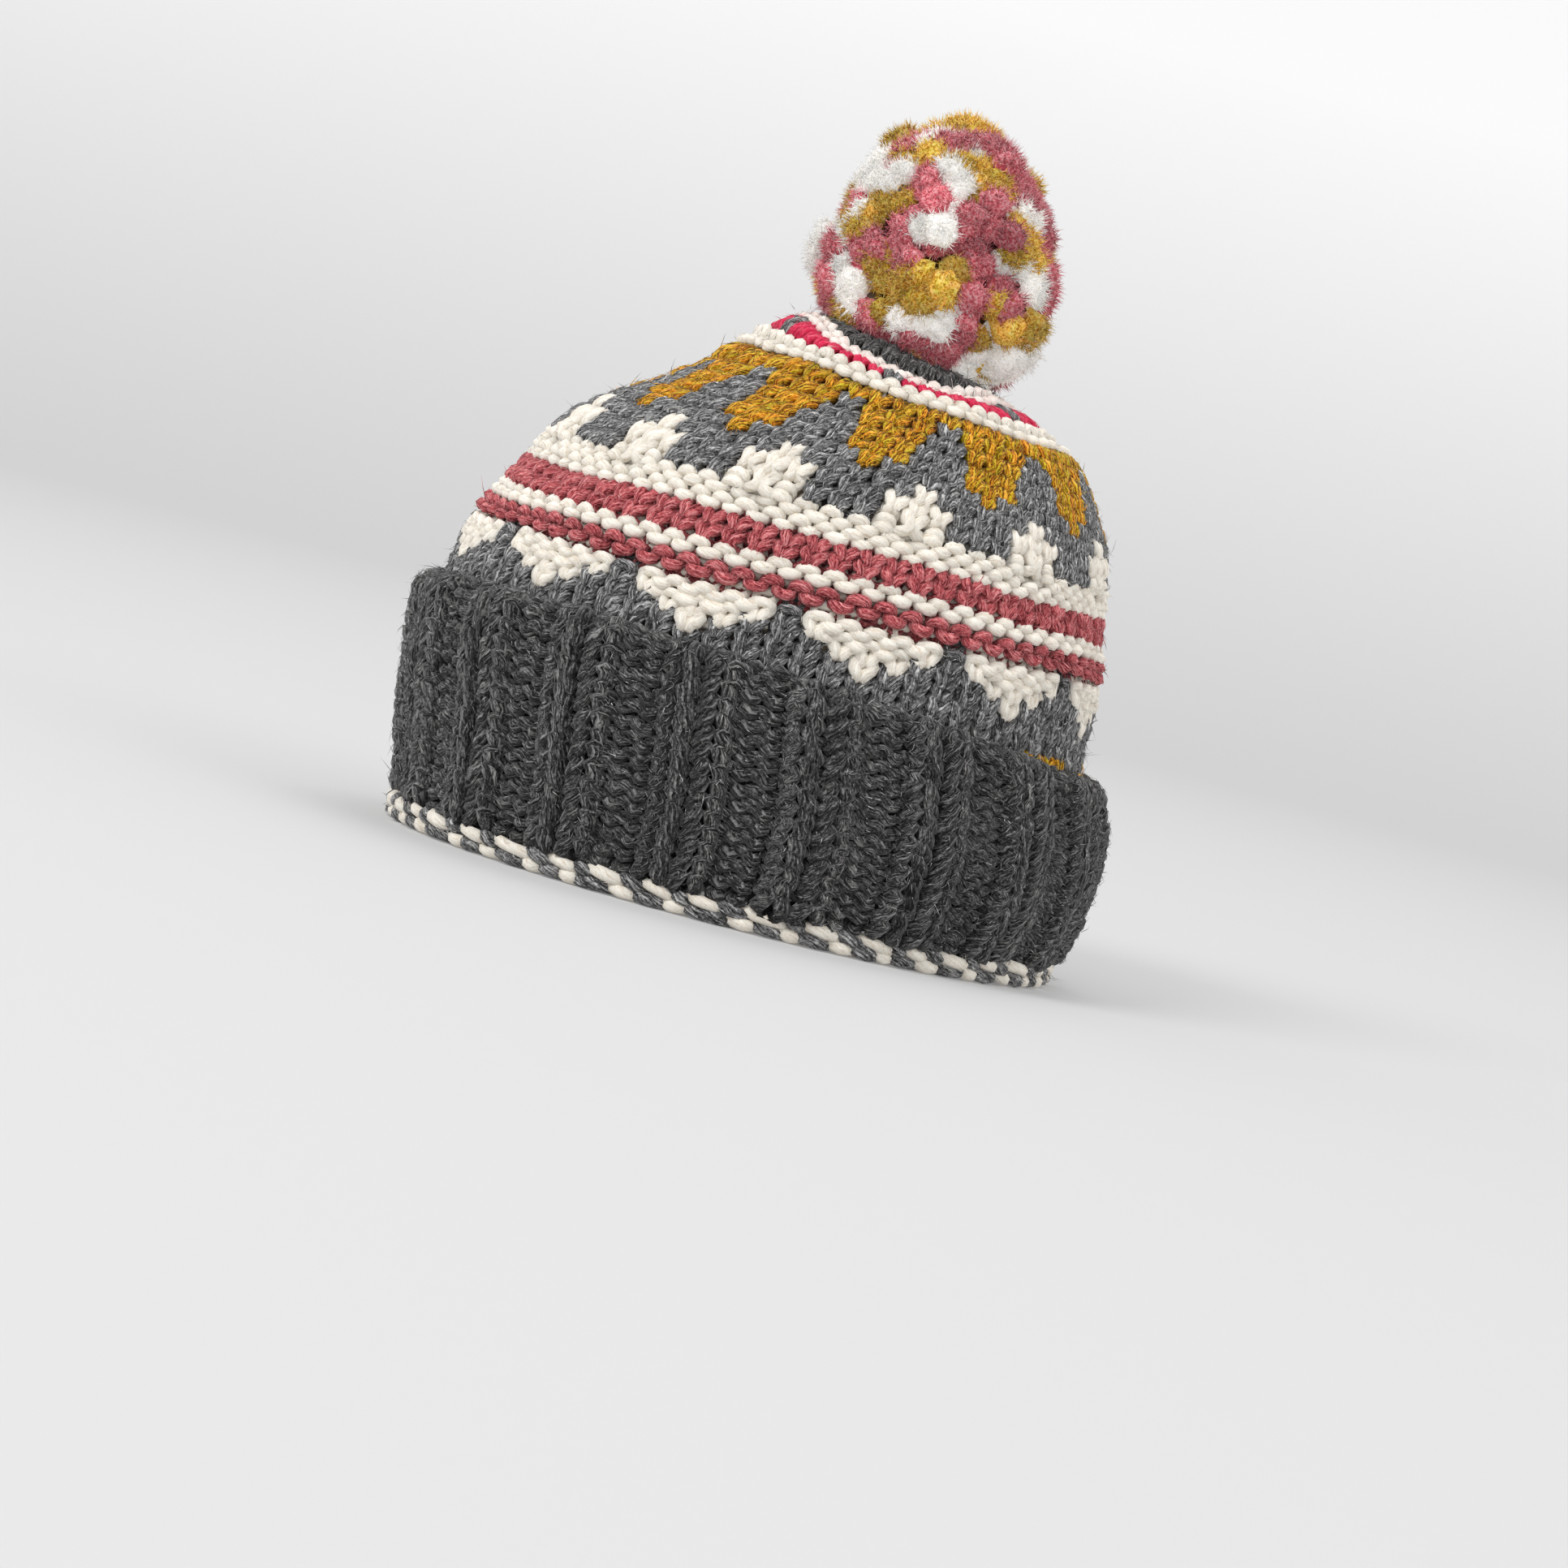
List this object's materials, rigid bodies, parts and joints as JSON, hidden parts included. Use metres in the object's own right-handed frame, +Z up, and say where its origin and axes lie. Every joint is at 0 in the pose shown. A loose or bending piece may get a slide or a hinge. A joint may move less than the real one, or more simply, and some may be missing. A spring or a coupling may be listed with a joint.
{
  "type": "knitted pompom beanie",
  "caption": "Thick hand-knit beanie with a domed striped crown, a turned-up ribbed cuff, a braided edge and a wool pompom on top.",
  "frame": {"origin": "middle of the rim's outline, on the surface that the hat stands on", "axes": "+Z up out of the crown, +X along the length of the head with the pompom leaning that way, -Y the side seen in the picture"},
  "size_m": [0.2128, 0.1859, 0.2406],
  "materials": {
    "grey_yarn": "fuzzy mid-grey heather wool, hand-knit",
    "charcoal_yarn": "charcoal heather wool, two-by-two rib",
    "braid_yarn": "cream and charcoal wool twisted together",
    "pompom_yarn": "cut wool tufts in cream, rose and mustard",
    "cream_yarn": "smooth soft cream wool",
    "rose_yarn": "dusty rose wool",
    "mustard_yarn": "mustard heather wool with olive and orange fibres",
    "crimson_yarn": "crimson wool"
  },
  "bodies": {
    "root": {"crown": "grey_yarn", "cuff": "charcoal_yarn", "edge_braid": "braid_yarn", "pompom": "pompom_yarn", "pompom_tie": "charcoal_yarn"}
  },
  "joints": []
}
